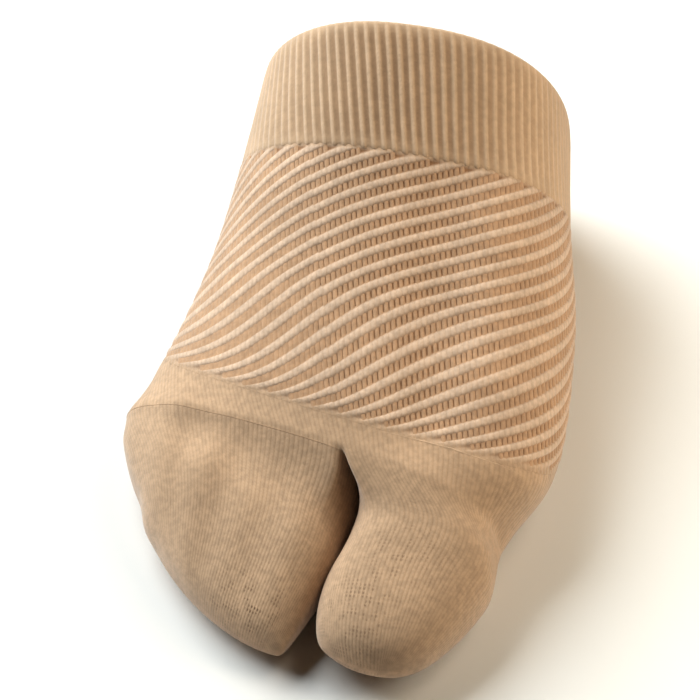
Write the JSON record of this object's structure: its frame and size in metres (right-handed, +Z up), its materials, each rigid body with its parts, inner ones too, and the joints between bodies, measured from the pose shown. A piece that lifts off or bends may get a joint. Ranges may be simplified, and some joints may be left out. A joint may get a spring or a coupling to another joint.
{
  "type": "forefoot compression sleeve",
  "caption": "Knitted split-toe forefoot sleeve for a right foot: ribbed open cuff, diagonal-rib compression body, plain yoke, and pockets for the small toes and the big toe.",
  "frame": {"origin": "on the inside of the sole under the ball of the foot, where the foot stands in the sleeve", "axes": "+X to the big-toe side, -Y to the toes, +Z up"},
  "size_m": [0.1034, 0.1714, 0.0821],
  "materials": {
    "rib_knit": "matte ribbed knit, tan",
    "band_knit": "matte diagonal-rib knit, tan",
    "plain_knit": "matte plain knit, tan"
  },
  "bodies": {
    "root": {"ribbed_cuff": "rib_knit", "diagonal_rib_body": "band_knit", "forefoot_yoke": "plain_knit", "lesser_toe_pocket": "plain_knit", "big_toe_pocket": "plain_knit"}
  },
  "joints": []
}
